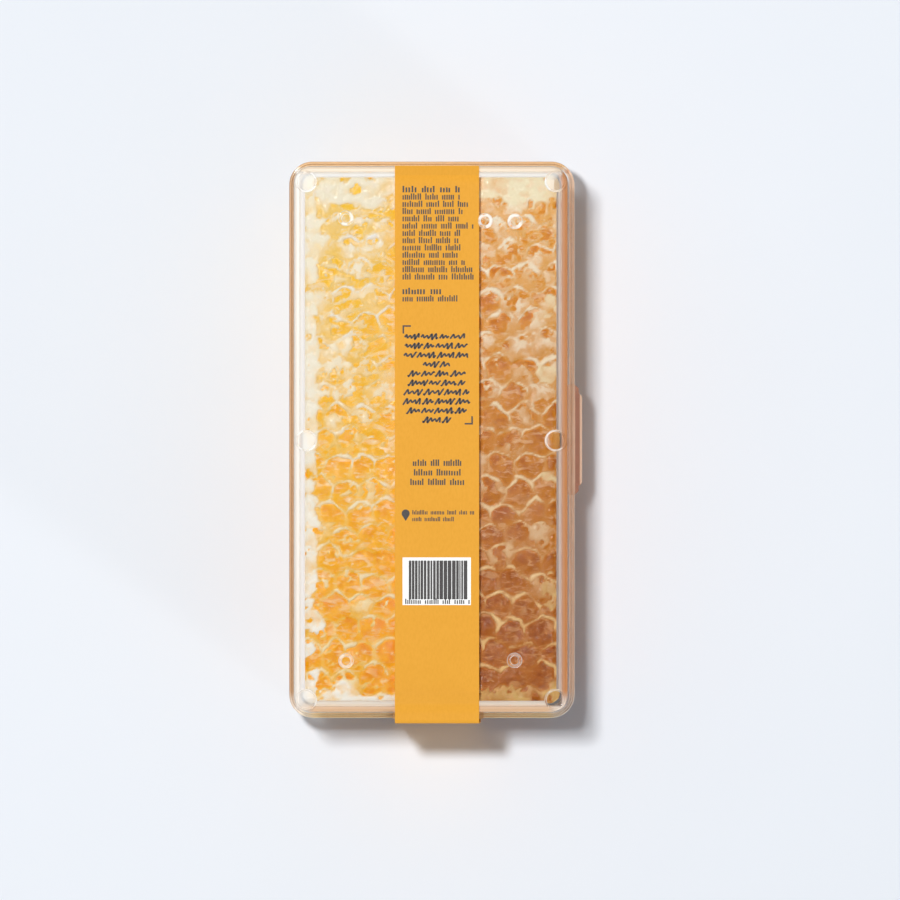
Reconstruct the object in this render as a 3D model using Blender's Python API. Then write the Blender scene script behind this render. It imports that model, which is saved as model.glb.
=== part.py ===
"""A shut clear plastic box of cut honeycomb, with a paper label strip folded round one end.

Metres, +Z up. The pack lies flat with the tray's flat side up and the lid below. Its long side runs
along Y, its thumb tab points along +X, and the label's fold is at -Y. The floor is at z = 0, where
the lid's pads and the label's lower run rest. The origin is on that run, under the box's centre.
"""

import math
import random

import bmesh
import bpy

MM = 0.001

# Box, measured over the rim where tray and lid meet
LENGTH = 108.0 * MM  # along Y
WIDTH = 55.4 * MM  # along X
BOX_HEIGHT = 29.0 * MM  # from the lid's flat side to the tray's
LID_HEIGHT = 11.0 * MM  # from the lid's flat side to the parting plane
CORNER_RADIUS = 4.5 * MM
CORNER_STEPS = 4
WALL = 1.3 * MM
DRAFT = 1.2 * MM  # how far the flat sides' edges lie inside the rim
EDGE_RADIUS = 0.6 * MM  # between a flat side and the wall
EDGE_STEPS = 2
CLEARANCE = 0.3 * MM  # between pieces that rest on or in each other

# Rim: a bead outside, and inside it the lid's tongue, which stands in the tray's recess
RIM_REACH = 0.4 * MM
RIM_HEIGHT = 1.6 * MM
RIM_WALL = 0.7 * MM  # each of the two walls that overlap
RIM_DEPTH = 2 * RIM_WALL + CLEARANCE
TONGUE = 1.2 * MM

# Stacking ridge, pads and rings on the flat sides
RIDGE_INSET = 2.85 * MM  # from the rim to the ridge's centre line
RIDGE_WIDTH = 1.1 * MM
RIDGE_HEIGHT = 0.5 * MM
PAD_RADIUS = 2.1 * MM
PAD_LIP = 0.4 * MM
PAD_DISH = 0.25 * MM
PAD_INSET_X = 3.6 * MM  # from the rim to a corner pad's centre
PAD_INSET_Y = 3.9 * MM
PAD_SHIFT = 0.3 * MM  # the pads lie this much nearer the label's fold than its open end
PAD_STEPS = 12
RING_RADIUS = 1.5 * MM
RING_WIDTH = 0.5 * MM
RING_HEIGHT = 0.3 * MM
RING_STEPS = 12
RING_PLACES = [  # one at each corner, and a fifth beside the label
    (16.3 * MM, 42.1 * MM),
    (-16.4 * MM, 42.7 * MM),
    (16.2 * MM, -42.8 * MM),
    (-16.4 * MM, -42.9 * MM),
    (10.5 * MM, 42.2 * MM),
]
ROOT = 0.4 * MM  # how deep a feature starts inside the wall that carries it

# Tabs on the rim: the thumb tab on +X and the lug on -Y
TAB_LENGTH = 21.5 * MM
TAB_REACH = 1.45 * MM
LUG_LENGTH = 17.6 * MM
LUG_REACH = 0.7 * MM
LUG_CENTRE = 1.2 * MM
TAB_HEIGHT = 2.2 * MM
TAB_ROUND = 0.9 * MM

# Honeycomb block
CELL = 5.3 * MM  # across the flats
ROW = CELL * math.sqrt(3) / 2
CELL_SIDE = CELL / math.sqrt(3)
COMB_INSET = DRAFT + WALL + 0.4 * MM  # from the rim
COMB_CORNER = 1.2 * MM
CELL_MOUTH = 0.7  # the floor's size as a share of the cell's
CELL_DEPTH = (1.7 * MM, 2.4 * MM)
CELL_SHIFT = 0.3 * MM  # how unevenly the bees built
CAP_SINK = (0.05 * MM, 0.3 * MM)  # middle of a capped cell, below the block's top
WALL_SINK = (0.6 * MM, 1.0 * MM)  # tops of the cell walls
CAPPED_FROM = 2.0 * MM  # cells with Y above this are mostly capped
CAPPED_WAVE = 7.0 * MM
STRAY_CELLS = 0.14  # share of the cells that differ from their neighbours
SHORTEST_EDGE = 0.1 * MM  # left by the cuts through the cells
SEED = 11

# Label strip
LABEL_WIDTH = 16.3 * MM
LABEL_CENTRE = 1.2 * MM
LABEL_THICKNESS = 0.3 * MM
LABEL_FOLD = 0.9 * MM
LABEL_STEPS = 5

STACK = LABEL_THICKNESS + CLEARANCE + RIDGE_HEIGHT  # from the label's outer face to a flat side
PAD_HEIGHT = STACK  # level with the label, so that the pack rests on pads and label alike
PARTING = STACK + LID_HEIGHT
TOTAL_HEIGHT = BOX_HEIGHT + 2 * STACK
TRAY_HEIGHT = BOX_HEIGHT - LID_HEIGHT
COMB_THICKNESS = BOX_HEIGHT - 2 * WALL - 2 * CLEARANCE


def clear_scene():
    for item in list(bpy.data.objects):
        bpy.data.objects.remove(item, do_unlink=True)


def material(name, color, roughness, transmission=0.0, ior=1.5):
    made = bpy.data.materials.new(name)
    made.use_nodes = True
    shader = made.node_tree.nodes["Principled BSDF"]
    shader.inputs["Base Color"].default_value = (*color, 1.0)
    shader.inputs["Roughness"].default_value = roughness
    shader.inputs["Metallic"].default_value = 0.0
    shader.inputs["Transmission Weight"].default_value = transmission
    shader.inputs["IOR"].default_value = ior
    return made


def finished(name, bm, place=(0.0, 0.0, 0.0), finish=None):
    """The object made from bm, at its place. Without a finish it is only a guide for a Boolean."""
    bmesh.ops.recalc_face_normals(bm, faces=bm.faces[:])
    mesh = bpy.data.meshes.new(name)
    bm.to_mesh(mesh)
    bm.free()
    mesh.shade_smooth()
    mesh.set_sharp_from_angle(angle=math.radians(35))
    made = bpy.data.objects.new(name, mesh)
    made.location = place
    bpy.context.scene.collection.objects.link(made)
    if finish is None:
        made.hide_render = True
        made.display_type = "WIRE"
    else:
        mesh.materials.append(finish)
    return made


def weld(body, added):
    """Joins the guide object to the body with a Boolean."""
    union = body.modifiers.new(added.name, "BOOLEAN")
    union.operation = "UNION"
    union.solver = "EXACT"
    union.object = added


def box_loop(bm, inset, z):
    """A rounded rectangle of vertices, inset from the rim's outer line."""
    radius = max(CORNER_RADIUS - inset, 0.8 * MM)
    reach_x = WIDTH / 2 - inset - radius
    reach_y = LENGTH / 2 - inset - radius
    loop = []
    for corner, (side_x, side_y) in enumerate(((1, 1), (-1, 1), (-1, -1), (1, -1))):
        for step in range(CORNER_STEPS + 1):
            angle = (corner + step / CORNER_STEPS) * math.pi / 2
            x = side_x * reach_x + radius * math.cos(angle)
            y = side_y * reach_y + radius * math.sin(angle)
            loop.append(bm.verts.new((x, y, z)))
    return loop


def round_loop(bm, centre, radius, z, steps):
    turns = [2 * math.pi * step / steps for step in range(steps)]
    return [
        bm.verts.new((centre[0] + radius * math.cos(a), centre[1] + radius * math.sin(a), z))
        for a in turns
    ]


def skin(bm, loops, ring=False):
    """Faces from each loop to the next, with capped ends, or as a ring from the last to the first."""
    pairs = list(zip(loops, loops[1:]))
    if ring:
        pairs.append((loops[-1], loops[0]))
    else:
        bm.faces.new(loops[0])
        bm.faces.new(loops[-1])
    for first, second in pairs:
        for i, here in enumerate(first):
            after = (i + 1) % len(first)
            bm.faces.new((here, first[after], second[after], second[i]))


def shell_profile(flat, has_tongue):
    """(inset, height) points from the flat side's edge round the wall and back up inside.

    Heights are distances from the parting plane towards the flat side.
    """
    points = []
    for step in range(EDGE_STEPS + 1):
        angle = math.pi / 2 * step / EDGE_STEPS
        across = EDGE_RADIUS * (1 - math.sin(angle))
        down = EDGE_RADIUS * (1 - math.cos(angle))
        points.append((DRAFT + across, flat - down))
    points += [(RIM_REACH, RIM_HEIGHT), (0.0, RIM_HEIGHT - RIM_REACH / 2), (0.0, CLEARANCE / 2)]
    if has_tongue:
        outside = RIM_WALL + CLEARANCE
        points += [(outside, CLEARANCE / 2), (outside, -TONGUE), (RIM_DEPTH, -TONGUE)]
    else:
        recess = TONGUE + CLEARANCE
        points += [(RIM_WALL, CLEARANCE / 2), (RIM_WALL, recess), (RIM_DEPTH, recess)]
    points.append((DRAFT + WALL, flat - WALL))
    return points


def add_ridge(bm, flat, up):
    """The stacking ridge round a flat side: a rectangle bent round into a closed frame."""
    corners = ((-1, flat - ROOT), (-1, flat + RIDGE_HEIGHT), (1, flat + RIDGE_HEIGHT), (1, flat - ROOT))
    loops = [box_loop(bm, RIDGE_INSET + side * RIDGE_WIDTH / 2, up * h) for side, h in corners]
    skin(bm, loops, ring=True)


def add_ring(bm, centre, flat, up):
    inner = RING_RADIUS - RING_WIDTH
    corners = (
        (RING_RADIUS, flat - ROOT),
        (RING_RADIUS, flat + RING_HEIGHT),
        (inner, flat + RING_HEIGHT),
        (inner, flat - ROOT),
    )
    skin(bm, [round_loop(bm, centre, r, up * h, RING_STEPS) for r, h in corners], ring=True)


def add_pad(bm, centre, flat, up):
    """A round pad with a lip round a shallow dish."""
    profile = (
        (PAD_RADIUS, flat - ROOT),
        (PAD_RADIUS, flat + PAD_HEIGHT),
        (PAD_RADIUS - PAD_LIP, flat + PAD_HEIGHT),
        (PAD_RADIUS - PAD_LIP, flat + PAD_HEIGHT - PAD_DISH),
    )
    skin(bm, [round_loop(bm, centre, r, up * h, PAD_STEPS) for r, h in profile])


def add_tab(bm, length, reach, up, turn, rim, shift=0.0):
    """A low plate on the rim with sloping, rounded shoulders. It reaches along +X before the turn."""
    inner = rim - ROOT - RIM_WALL / 2
    outer = rim + reach
    half = length / 2
    outline = [(inner, -half), (rim, -half), (outer, reach - half)]
    outline += [(x, -y) for x, y in reversed(outline)]
    cosine, sine = round(math.cos(turn)), round(math.sin(turn))
    loops = []
    for h in (CLEARANCE / 2, TAB_HEIGHT):
        placed = [(x, y + shift) for x, y in outline]
        turned = [(cosine * x - sine * y, sine * x + cosine * y, up * h) for x, y in placed]
        loops.append([bm.verts.new(point) for point in turned])
    skin(bm, loops)
    bm.edges.ensure_lookup_table()
    corners = [bm.edges.get((loops[0][i], loops[1][i])) for i in (2, 3)]
    bmesh.ops.bevel(bm, geom=corners, offset=min(TAB_ROUND, reach), segments=3, affect="EDGES")


def pad_places():
    x, y = WIDTH / 2 - PAD_INSET_X, LENGTH / 2 - PAD_INSET_Y
    return [(side_x * x, side_y * y - PAD_SHIFT) for side_x in (-1, 1) for side_y in (-1, 0, 1)]


def half_box(name, flat, up, has_tongue, finish):
    """The tray, which opens downwards, or the lid, which opens upwards and has the tongue."""
    bm = bmesh.new()
    profile = shell_profile(flat, has_tongue)
    skin(bm, [box_loop(bm, inset, up * height) for inset, height in profile])
    place = (0.0, 0.0, PARTING)
    body = finished(name, bm, place, finish)

    relief = bmesh.new()
    add_ridge(relief, flat, up)
    for centre in RING_PLACES:
        add_ring(relief, centre, flat, up)
    add_tab(relief, TAB_LENGTH, TAB_REACH, up, 0.0, WIDTH / 2)
    add_tab(relief, LUG_LENGTH, LUG_REACH, up, -math.pi / 2, LENGTH / 2, LUG_CENTRE)
    weld(body, finished(name + "_relief", relief, place))

    pads = bmesh.new()
    for centre in pad_places():
        add_pad(pads, centre, flat, up)
    weld(body, finished(name + "_pads", pads, place))
    return body


def cell_centres():
    rows = math.ceil(LENGTH / 2 / ROW)
    columns = math.ceil(WIDTH / 2 / CELL)
    for row in range(-rows, rows + 1):
        shift = CELL / 2 if row % 2 else 0.0
        for column in range(-columns - 1, columns + 1):
            yield column * CELL + shift, row * ROW


def is_capped(x, y, chance):
    line = CAPPED_FROM + CAPPED_WAVE * math.sin(x / (8 * MM))
    capped = y > line
    return not capped if chance.random() < STRAY_CELLS else capped


def add_capped_cell(bm, x, y, corners, chance):
    """A cell under its wax cap, which rises to the middle."""
    middle = bm.verts.new((x, y, -chance.uniform(*CAP_SINK)))
    for i, corner in enumerate(corners):
        bm.faces.new((corner, corners[(i + 1) % 6], middle))


def add_open_cell(bm, x, y, corners, chance):
    """A cell with sloping walls down to its honey."""
    depth = -chance.uniform(*CELL_DEPTH)
    floor = []
    for corner in corners:
        reach_x, reach_y = corner.co.x - x, corner.co.y - y
        floor.append(bm.verts.new((x + CELL_MOUTH * reach_x, y + CELL_MOUTH * reach_y, depth)))
    skin_pairs = zip(corners, corners[1:] + corners[:1], floor, floor[1:] + floor[:1])
    for here, after, floor_here, floor_after in skin_pairs:
        bm.faces.new((here, after, floor_after, floor_here))
    bm.faces.new(floor)


def comb_sheet(bm, chance):
    """One face of the comb, larger than the block: cells that share their corners."""
    shared = {}
    for x, y in cell_centres():
        corners = []
        for step in range(6):
            angle = math.radians(30 + 60 * step)
            corner_x, corner_y = x + CELL_SIDE * math.cos(angle), y + CELL_SIDE * math.sin(angle)
            key = (round(corner_x / MM, 2), round(corner_y / MM, 2))
            if key not in shared:
                moved_x = corner_x + chance.uniform(-CELL_SHIFT, CELL_SHIFT)
                moved_y = corner_y + chance.uniform(-CELL_SHIFT, CELL_SHIFT)
                shared[key] = bm.verts.new((moved_x, moved_y, -chance.uniform(*WALL_SINK)))
            corners.append(shared[key])
        add_cell = add_capped_cell if is_capped(x, y, chance) else add_open_cell
        add_cell(bm, x, y, corners, chance)


def cut_to_block(bm):
    """Cuts the sheet through its cells, as a knife cuts the comb, with the corners taken off."""
    half_x, half_y = WIDTH / 2 - COMB_INSET, LENGTH / 2 - COMB_INSET
    diagonal = half_x + half_y - COMB_CORNER
    cuts = [((s, 0), half_x) for s in (-1, 1)] + [((0, s), half_y) for s in (-1, 1)]
    cuts += [((a, b), diagonal / 2) for a in (-1, 1) for b in (-1, 1)]
    for (x, y), reach in cuts:
        bmesh.ops.bisect_plane(
            bm,
            geom=bm.verts[:] + bm.edges[:] + bm.faces[:],
            dist=1e-6,
            plane_co=(x * reach, y * reach, 0.0),
            plane_no=(x, y, 0.0),
            clear_outer=True,
        )
    bmesh.ops.remove_doubles(bm, verts=bm.verts[:], dist=SHORTEST_EDGE)


def honeycomb(finish):
    """The block of comb: one sheet of cells above, the same sheet mirrored below, flat cut sides."""
    chance = random.Random(SEED)
    bm = bmesh.new()
    comb_sheet(bm, chance)
    cut_to_block(bm)
    raised = bmesh.ops.extrude_face_region(bm, geom=bm.faces[:], use_keep_orig=True)
    upper = {item for item in raised["geom"] if isinstance(item, bmesh.types.BMVert)}
    for vert in bm.verts:
        side = 1 if vert in upper else -1
        vert.co.z = side * (COMB_THICKNESS / 2 + vert.co.z)
    return finished("honeycomb", bm, (0.0, 0.0, TOTAL_HEIGHT / 2), finish)


def label_path():
    """(y, z, outward y, outward z) along the strip's outer side, from the top run's end to the lower's."""
    end = LENGTH / 2 - DRAFT
    fold = -LENGTH / 2 - LUG_REACH - CLEARANCE - LABEL_THICKNESS
    path = [(end, TOTAL_HEIGHT, 0.0, 1.0)]
    for middle, start in ((TOTAL_HEIGHT - LABEL_FOLD, math.pi / 2), (LABEL_FOLD, math.pi)):
        for step in range(LABEL_STEPS + 1):
            angle = start + math.pi / 2 * step / LABEL_STEPS
            out_y, out_z = math.cos(angle), math.sin(angle)
            y = fold + LABEL_FOLD + LABEL_FOLD * out_y
            path.append((y, middle + LABEL_FOLD * out_z, out_y, out_z))
    path.append((end, 0.0, 0.0, -1.0))
    return path


def label_strip(finish):
    """The strip along the top, round the fold at -Y and back under the lid."""
    bm = bmesh.new()
    left, right = LABEL_CENTRE - LABEL_WIDTH / 2, LABEL_CENTRE + LABEL_WIDTH / 2
    loops = []
    for y, z, out_y, out_z in label_path():
        inner_y, inner_z = y - LABEL_THICKNESS * out_y, z - LABEL_THICKNESS * out_z
        section = ((left, y, z), (right, y, z), (right, inner_y, inner_z), (left, inner_y, inner_z))
        loops.append([bm.verts.new(point) for point in section])
    skin(bm, loops)
    return finished("label_strip", bm, finish=finish)


def main():
    clear_scene()
    clear_plastic = material("clear_plastic", (0.94, 0.92, 0.88), 0.06, transmission=0.9, ior=1.59)
    comb = material("comb", (0.86, 0.50, 0.14), 0.25)
    paper = material("paper", (0.89, 0.43, 0.05), 0.6)
    half_box("box_tray", TRAY_HEIGHT, 1, False, clear_plastic)
    half_box("box_lid", LID_HEIGHT, -1, True, clear_plastic)
    honeycomb(comb)
    label_strip(paper)


main()
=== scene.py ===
"""Looks of a honeycomb piece in its shut clear box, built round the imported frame.

Everything is in metres, in the frame's own axes: +Z out of the tray's flat side, +Y along the box,
+X towards the thumb tab.
"""

import math
import random

import bmesh
import bpy
import numpy as np
from mathutils import Matrix, Vector


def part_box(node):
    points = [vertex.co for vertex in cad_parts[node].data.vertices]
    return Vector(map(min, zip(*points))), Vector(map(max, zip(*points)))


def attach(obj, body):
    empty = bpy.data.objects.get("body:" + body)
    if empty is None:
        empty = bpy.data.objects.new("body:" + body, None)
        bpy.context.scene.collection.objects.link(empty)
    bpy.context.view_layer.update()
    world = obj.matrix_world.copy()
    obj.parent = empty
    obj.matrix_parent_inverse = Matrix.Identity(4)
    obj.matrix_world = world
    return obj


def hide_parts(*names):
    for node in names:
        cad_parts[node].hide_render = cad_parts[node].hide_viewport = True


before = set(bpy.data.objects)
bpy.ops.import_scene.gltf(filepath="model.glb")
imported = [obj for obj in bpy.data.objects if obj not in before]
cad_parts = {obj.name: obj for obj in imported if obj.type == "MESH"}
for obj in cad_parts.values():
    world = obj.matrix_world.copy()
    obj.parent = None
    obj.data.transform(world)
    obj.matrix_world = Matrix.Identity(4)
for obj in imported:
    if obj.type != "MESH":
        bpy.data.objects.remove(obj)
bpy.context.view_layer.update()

MM = 0.001
BODY = "root"

# Sizes that the solids share
WIDTH, LENGTH = 55.4 * MM, 108.0 * MM
TRAY_FLAT, LID_FLAT, PARTING = 30.1 * MM, 1.1 * MM, 12.1 * MM
CLEARANCE = 0.3 * MM
PLASTIC = 1.3 * MM
DRAFT = 1.2 * MM
CORNER_RADIUS = 4.5 * MM
EDGE_RADIUS = 0.6 * MM
RIM_REACH, RIM_HEIGHT, RIM_WALL, TONGUE = 0.4 * MM, 1.6 * MM, 0.7 * MM, 1.2 * MM
RIDGE_INSET, RIDGE_WIDTH, RIDGE_HEIGHT = 2.85 * MM, 1.1 * MM, 0.5 * MM
PAD_RADIUS, PAD_LIP, PAD_HEIGHT, PAD_DISH = 2.1 * MM, 0.4 * MM, 1.1 * MM, 0.25 * MM
PAD_INSET_X, PAD_INSET_Y, PAD_SHIFT = 3.6 * MM, 3.9 * MM, 0.3 * MM
RING_RADIUS, RING_WIDTH, RING_HEIGHT = 1.5 * MM, 0.7 * MM, 0.3 * MM
RING_PLACES = [
    (x * MM, y * MM) for x, y in ((16.3, 42.1), (-16.4, 42.7), (16.2, -42.8), (-16.4, -42.9), (10.5, 42.2))
]
TAB_LENGTH, TAB_REACH, TAB_HEIGHT, TAB_ROUND = 21.5 * MM, 1.45 * MM, 2.2 * MM, 0.9 * MM
LUG_LENGTH, LUG_REACH, LUG_CENTRE = 17.6 * MM, 0.7 * MM, 1.2 * MM
ROOT = 0.4 * MM

COMB_LOW, COMB_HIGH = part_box("honeycomb")
LABEL_LOW, LABEL_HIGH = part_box("label_strip")

# Comb: a cell's width and depth, the rows' spacing, and how strongly the cells' walls arch
CELL, CELL_DEPTH = 5.3 * MM, 1.3 * MM
ROW = CELL * math.sqrt(3) / 2
ARCH = 0.22
COMB_CORNER, HONEY_THICKNESS = 2.0 * MM, 2.6 * MM

# Heights on the comb's face count from FACE, and its two halves meet at MIDRIB
FACE = COMB_HIGH.z + 0.15 * MM
MIDRIB = (COMB_HIGH.z + COMB_LOW.z) / 2

# Rows and columns of the comb's meshes, and rings down its cut sides
WAX_GRID, HONEY_GRID, SIDE_LEVELS = (331, 161), (321, 157), 34


# ------------------------------------ node trees

class Shader:
    """A material's node tree, with short calls for the nodes that it is made of."""

    def __init__(self, name):
        self.material = bpy.data.materials.new(name)
        self.material.use_nodes = True
        self.tree = self.material.node_tree
        self.tree.nodes.clear()
        self.output = self.add("ShaderNodeOutputMaterial")

    def add(self, kind, **settings):
        made = self.tree.nodes.new(kind)
        for key, value in settings.items():
            setattr(made, key, value)
        return made

    def feed(self, socket, value):
        """Links a socket to another, or sets its value."""
        if isinstance(value, bpy.types.NodeSocket):
            self.tree.links.new(value, socket)
        elif isinstance(value, (tuple, list)) and len(value) == 3 and len(socket.default_value) == 4:
            socket.default_value = (*value, 1.0)
        else:
            socket.default_value = value

    def mix(self, factor, first, second):
        """Mixes two colours."""
        node = self.add("ShaderNodeMix", data_type="RGBA", clamp_factor=True)
        self.feed(node.inputs["Factor"], factor)
        self.feed(node.inputs[6], first)
        self.feed(node.inputs[7], second)
        return node.outputs[2]

    def math(self, operation, first, second=0.0):
        node = self.add("ShaderNodeMath", operation=operation)
        self.feed(node.inputs[0], first)
        self.feed(node.inputs[1], second)
        return node.outputs[0]

    def plus(self, first, second):
        return self.math("ADD", first, second)

    def minus(self, first, second):
        return self.math("SUBTRACT", first, second)

    def times(self, first, second):
        return self.math("MULTIPLY", first, second)

    def most(self, first, *others):
        """The largest of the values."""
        for other in others:
            first = self.math("MAXIMUM", first, other)
        return first

    def ramp(self, value, low, high, smooth=True):
        """0 at low to 1 at high."""
        node = self.add("ShaderNodeMapRange", interpolation_type="SMOOTHSTEP" if smooth else "LINEAR")
        self.feed(node.inputs["Value"], value)
        node.inputs["From Min"].default_value = low
        node.inputs["From Max"].default_value = high
        return node.outputs["Result"]

    def place(self):
        return self.add("ShaderNodeTexCoord").outputs["Object"]

    def axes(self, vector=None):
        """The three parts of a vector, or of the place on the object."""
        node = self.add("ShaderNodeSeparateXYZ")
        self.feed(node.inputs[0], self.place() if vector is None else vector)
        return node.outputs

    def noise(self, size, detail=3.0, stretch=(1.0, 1.0, 1.0), distortion=0.0):
        """Noise whose features are about size metres across."""
        mapping = self.add("ShaderNodeMapping")
        self.feed(mapping.inputs["Vector"], self.place())
        mapping.inputs["Scale"].default_value = [s / size for s in stretch]
        node = self.add("ShaderNodeTexNoise")
        self.feed(node.inputs["Vector"], mapping.outputs[0])
        node.inputs["Scale"].default_value = 1.0
        node.inputs["Detail"].default_value = detail
        node.inputs["Distortion"].default_value = distortion
        return node.outputs["Fac"]

    def attribute(self, name):
        return self.add("ShaderNodeAttribute", attribute_name=name).outputs["Fac"]

    def bump(self, height, distance, strength=1.0):
        node = self.add("ShaderNodeBump")
        self.feed(node.inputs["Height"], height)
        node.inputs["Distance"].default_value = distance
        node.inputs["Strength"].default_value = strength
        return node.outputs[0]

    def blend(self, factor, first, second):
        """Mixes two shaders."""
        node = self.add("ShaderNodeMixShader")
        for socket, value in zip(node.inputs, (factor, first, second)):
            self.feed(socket, value)
        return node.outputs[0]

    def clear_to(self, ray, shader, share):
        """Lets one kind of ray pass straight through, with a share of each colour."""
        clear = self.add("ShaderNodeBsdfTransparent")
        self.feed(clear.inputs["Color"], share)
        path = self.add("ShaderNodeLightPath")
        return self.blend(path.outputs[ray], shader, clear.outputs[0])

    def principled(self, **values):
        node = self.add("ShaderNodeBsdfPrincipled")
        for key, value in values.items():
            self.feed(node.inputs[key.replace("_", " ")], value)
        return node

    def finish(self, shader):
        self.feed(self.output.inputs["Surface"], shader)
        return self.material


def srgb(red, green, blue):
    """A screen colour, 0 to 255, as the linear value that a shader takes."""
    levels = [c / 255 for c in (red, green, blue)]
    return tuple(c / 12.92 if c <= 0.04045 else ((c + 0.055) / 1.055) ** 2.4 for c in levels)


def by_place(s):
    """A function that makes one colour of four: pale on the -X side, amber on the +X side, deeper to -Y.
    The change across X is partly the honey's own tone and partly painted light that falls from the -X side.
    """
    x, y, _ = s.axes()
    wander = s.times(s.minus(s.noise(14 * MM), 0.5), 10 * MM)
    across = s.ramp(s.plus(x, wander), -5 * MM, 9 * MM)
    along = s.ramp(s.plus(y, wander), 42 * MM, -38 * MM, smooth=False)

    def color(far_left, near_left, far_right, near_right):
        left = s.mix(along, srgb(*far_left), srgb(*near_left))
        right = s.mix(along, srgb(*far_right), srgb(*near_right))
        return s.mix(across, left, right)

    return color


def by_side(s, inset_x, inset_y):
    """A function that makes one colour of four, one for each side of the box, joined at the corners."""
    x, y, _ = s.axes()
    to_right = s.ramp(x, -1 * MM, 1 * MM)
    to_far = s.ramp(y, -1 * MM, 1 * MM)
    at_end = s.ramp(s.minus(inset_x, inset_y), -1 * MM, 1 * MM)

    def color(left, right, far, near):
        sides = s.mix(to_right, srgb(*left), srgb(*right))
        ends = s.mix(to_far, srgb(*near), srgb(*far))
        return s.mix(at_end, sides, ends)

    return color


# Colours at the far left, near left, far right and near right of the comb. The left ones are paler partly
# as painted light from that side
WALL = ((255, 246, 238), (254, 229, 186), (252, 238, 214), (232, 190, 130))
CAP = ((255, 240, 218), (253, 224, 174), (252, 234, 206), (212, 162, 106))
PRESSED = ((254, 240, 214), (253, 242, 228), (250, 234, 198), (212, 170, 104))
# Pale specks: torn wax on the wax, and on the honey partly painted glints
FLECK_AND_GLINT = ((255, 238, 218), (254, 219, 168), (250, 220, 182), (214, 156, 96))
WATERLINE = ((254, 208, 110), (251, 190, 78), (236, 174, 94), (182, 108, 42))
SHALLOW = ((255, 202, 58), (250, 170, 6), (229, 151, 44), (170, 93, 25))
DEEP = ((254, 190, 28), (240, 142, 0), (209, 116, 16), (138, 62, 9))
SIDE_WAX = ((248, 220, 156), (242, 208, 140), (242, 204, 140), (230, 182, 116))
SIDE_HONEY = ((240, 172, 58), (230, 150, 38), (226, 142, 46), (194, 102, 32))

# Colours at the left, right, far and near sides of the box, for the glass's tint and the haze on its edges.
# They paint light and shade: the ridge is white on the left and grey on the right, the rim and the glass
# round it are browner on the left and lighter on the right and near sides, which lie in shadow, and the
# shoulder on the right is painted amber for honey seen through it
WALL_TINT_AND_SHADE = ((228, 186, 140), (252, 240, 226), (242, 204, 154), (254, 240, 210))
RIM_HAZE_AND_SHADE = ((190, 148, 100), (250, 216, 188), (222, 178, 122), (255, 226, 172))
SHOULDER_HAZE_AND_SHADE = ((244, 238, 228), (200, 130, 70), (240, 220, 194), (232, 190, 150))
BEAD_INSIDE = ((240, 240, 240), (142, 126, 118), (238, 238, 236), (220, 206, 190))
BEAD_OUTSIDE = ((242, 238, 234), (200, 182, 174), (236, 232, 226), (238, 222, 204))
CORNER_HAZE = (244, 234, 222)
TAB_HAZE = (168, 108, 76)
HIGHLIGHT_WHITE = (246, 242, 236)


def glow(shader, color, amount, **values):
    """Wax or honey: light sinks in a little way and softens what it leaves."""
    return shader.principled(
        Base_Color=color,
        Subsurface_Weight=amount,
        Subsurface_Radius=(1.0, 1.0, 1.0),
        Subsurface_Scale=0.6 * MM,
        Specular_IOR_Level=0.03,
        **values,
    )


def wax_material():
    """Pale wax: the cell walls and caps, wet near the honey, with honey where the sides are cut."""
    s = Shader("comb_wax")
    tone = by_place(s)
    waterline = tone(*WATERLINE)

    # The face: walls, caps mottled by the honey below them, stains of honey, and crushed wax over it all
    mottle = s.ramp(s.noise(2.0 * MM, 3.0, distortion=0.6), 0.48, 0.62)
    cap = s.mix(s.times(mottle, 0.6), tone(*CAP), s.mix(0.5, waterline, tone(*SHALLOW)))
    color = s.mix(s.attribute("cap"), tone(*WALL), cap)
    stain = s.ramp(s.noise(2.4 * MM, 4.0), 0.52, 0.70)
    color = s.mix(s.times(stain, 0.6), color, waterline)
    torn = s.ramp(s.noise(1.7 * MM, 4.0), 0.5, 0.66)
    crushed = s.mix(s.times(torn, 0.6), tone(*PRESSED), tone(*FLECK_AND_GLINT))
    color = s.mix(s.attribute("press"), color, crushed)
    color = s.mix(s.attribute("rise"), waterline, color)

    # The cut sides: honey of varied depth between the walls, with smears of it over them
    thick = s.ramp(s.noise(3.4 * MM, 3.0, stretch=(1.0, 1.0, 0.4), distortion=0.4), 0.40, 0.62)
    filled = s.mix(s.times(thick, 0.7), tone(*SIDE_HONEY), tone(*DEEP))
    sides = s.mix(s.attribute("honey"), tone(*SIDE_WAX), filled)
    streak = s.ramp(s.noise(3.0 * MM, 3.0), 0.3, 0.7)
    sides = s.mix(s.times(streak, 0.3), sides, tone(*SIDE_HONEY))
    color = s.mix(s.attribute("side"), color, sides)

    grain = s.noise(0.6 * MM, 3.0)
    height = s.plus(s.noise(1.4 * MM, 3.0), s.times(grain, 0.35))
    shader = glow(
        s, color, 0.3,
        Roughness=s.ramp(grain, -0.6, 1.6, smooth=False),
        Coat_Weight=0.12,
        Coat_Roughness=0.08,
        Coat_Normal=s.bump(s.noise(1.0 * MM, 3.0), 0.2 * MM, 1.0),
        Normal=s.bump(height, 0.16 * MM, 0.9),
    )
    return s.finish(shader.outputs[0])


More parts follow.
